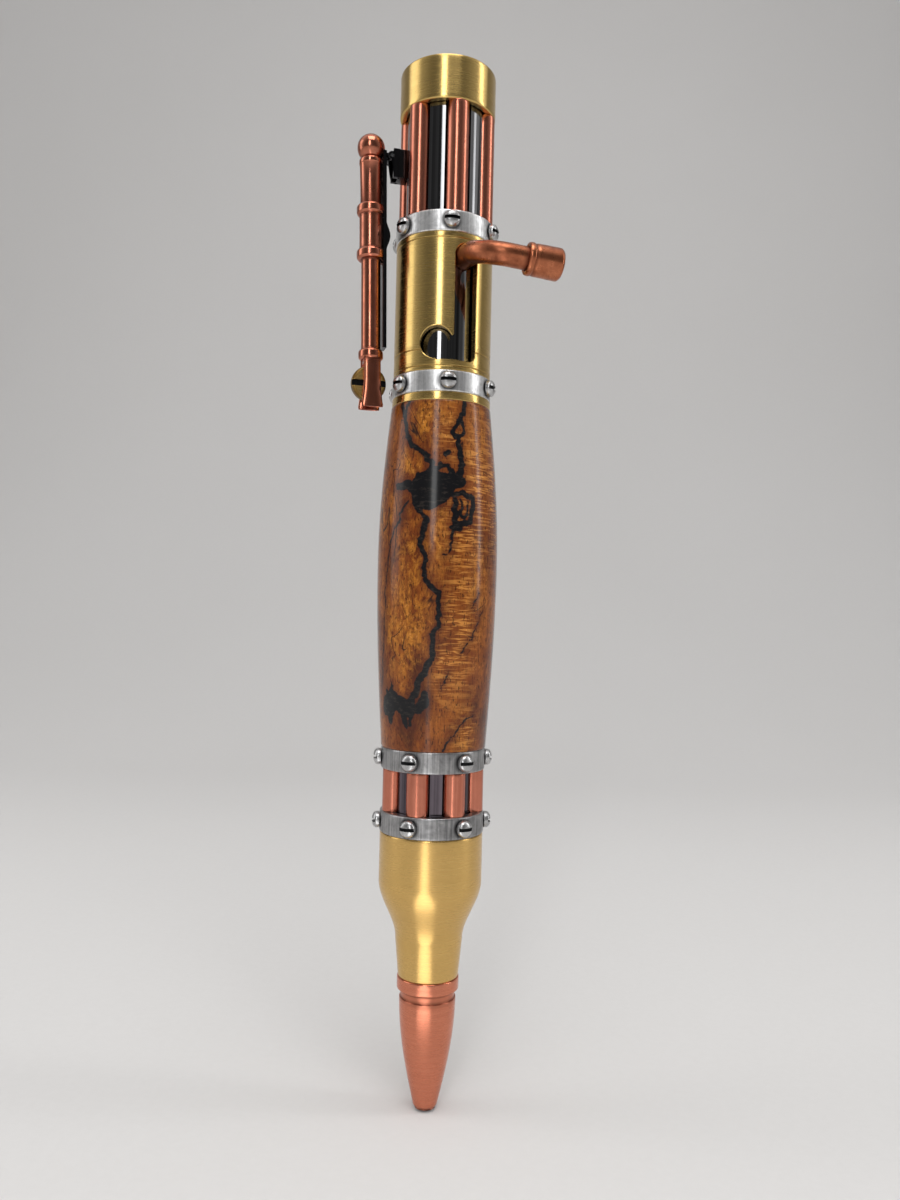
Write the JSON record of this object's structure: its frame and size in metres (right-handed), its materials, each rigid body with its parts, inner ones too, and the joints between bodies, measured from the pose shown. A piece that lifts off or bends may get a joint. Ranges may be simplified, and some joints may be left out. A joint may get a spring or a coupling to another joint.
{
  "type": "bolt action pen",
  "caption": "Bolt-action pen with a turned spalted-wood barrel, brass housing and nib, copper rods, riveted pewter bands, a bent copper bolt lever and a pipe-shaped clip with a roller.",
  "frame": {"origin": "on the pen's axis at the open end of the tip", "axes": "+Z along the pen from the tip to the cap, -Y towards the viewer of the picture, with the bolt lever on the +X side and the clip on the -X side"},
  "size_m": [0.0266, 0.019, 0.1346],
  "materials": {
    "copper": "satin copper plate",
    "brass": "finely brushed round",
    "pewter": "antique pewter plate",
    "black_chrome": "black chrome",
    "wood": "spalted wood, gloss finish",
    "steel": "plain",
    "refill_plastic": "smooth"
  },
  "bodies": {
    "pen": {"bullet_tip": "copper", "nib_shell": "brass", "nib_band": "pewter", "wood_band": "pewter", "housing_band": "pewter", "rod_band": "pewter", "nib_band_screw_1": "pewter", "nib_band_screw_2": "pewter", "nib_band_screw_3": "pewter", "nib_band_screw_4": "pewter", "nib_band_screw_5": "pewter", "nib_band_screw_6": "pewter", "wood_band_screw_1": "pewter", "wood_band_screw_2": "pewter", "wood_band_screw_3": "pewter", "wood_band_screw_4": "pewter", "wood_band_screw_5": "pewter", "wood_band_screw_6": "pewter", "housing_band_screw_1": "pewter", "housing_band_screw_2": "pewter", "housing_band_screw_3": "pewter", "housing_band_screw_4": "pewter", "housing_band_screw_5": "pewter", "housing_band_screw_6": "pewter", "rod_band_screw_1": "pewter", "rod_band_screw_2": "pewter", "rod_band_screw_3": "pewter", "rod_band_screw_4": "pewter", "rod_band_screw_5": "pewter", "rod_band_screw_6": "pewter", "lower_core": "black_chrome", "lower_rod_1": "copper", "lower_rod_2": "copper", "lower_rod_3": "copper", "lower_rod_4": "copper", "lower_rod_5": "copper", "lower_rod_6": "copper", "lower_rod_7": "copper", "wood_barrel": "wood", "barrel_sleeve": "brass", "housing": "brass", "upper_core": "black_chrome", "upper_rod_1": "copper", "upper_rod_2": "copper", "upper_rod_3": "copper", "upper_rod_4": "copper", "upper_rod_5": "copper", "upper_rod_6": "copper", "cap": "brass", "clip_bracket": "black_chrome", "clip_pin": "steel"},
    "bolt": {"bolt": "black_chrome", "bolt_lever": "copper", "bolt_knob": "copper", "refill": "refill_plastic", "return_spring": "steel"},
    "clip": {"clip_strip": "black_chrome", "clip_bar": "copper", "roller_axle": "steel"},
    "roller": {"clip_roller": "brass"}
  },
  "joints": [
    {"name": "bolt_slide", "type": "slide", "parent": "pen", "child": "bolt", "axis": [0, 0, -1], "range_m": [0, 0.0119], "stiffness_N_per_m": 120, "springref_m": -0.006, "deforming": ["return_spring"]},
    {"name": "clip_swing", "type": "hinge", "parent": "pen", "child": "clip", "pos_m": [-0.00729, -0.00216, 0.1229], "axis": [-0.284, 0.9588, 0], "range_deg": [0, 8], "stiffness_Nm_per_rad": 0.05, "springref_deg": -11.46},
    {"name": "clip_roller_spin", "type": "hinge", "parent": "clip", "child": "roller", "pos_m": [-0.00942, -0.00279, 0.09304], "axis": [0.284, -0.9588, 0], "continuous": true}
  ]
}
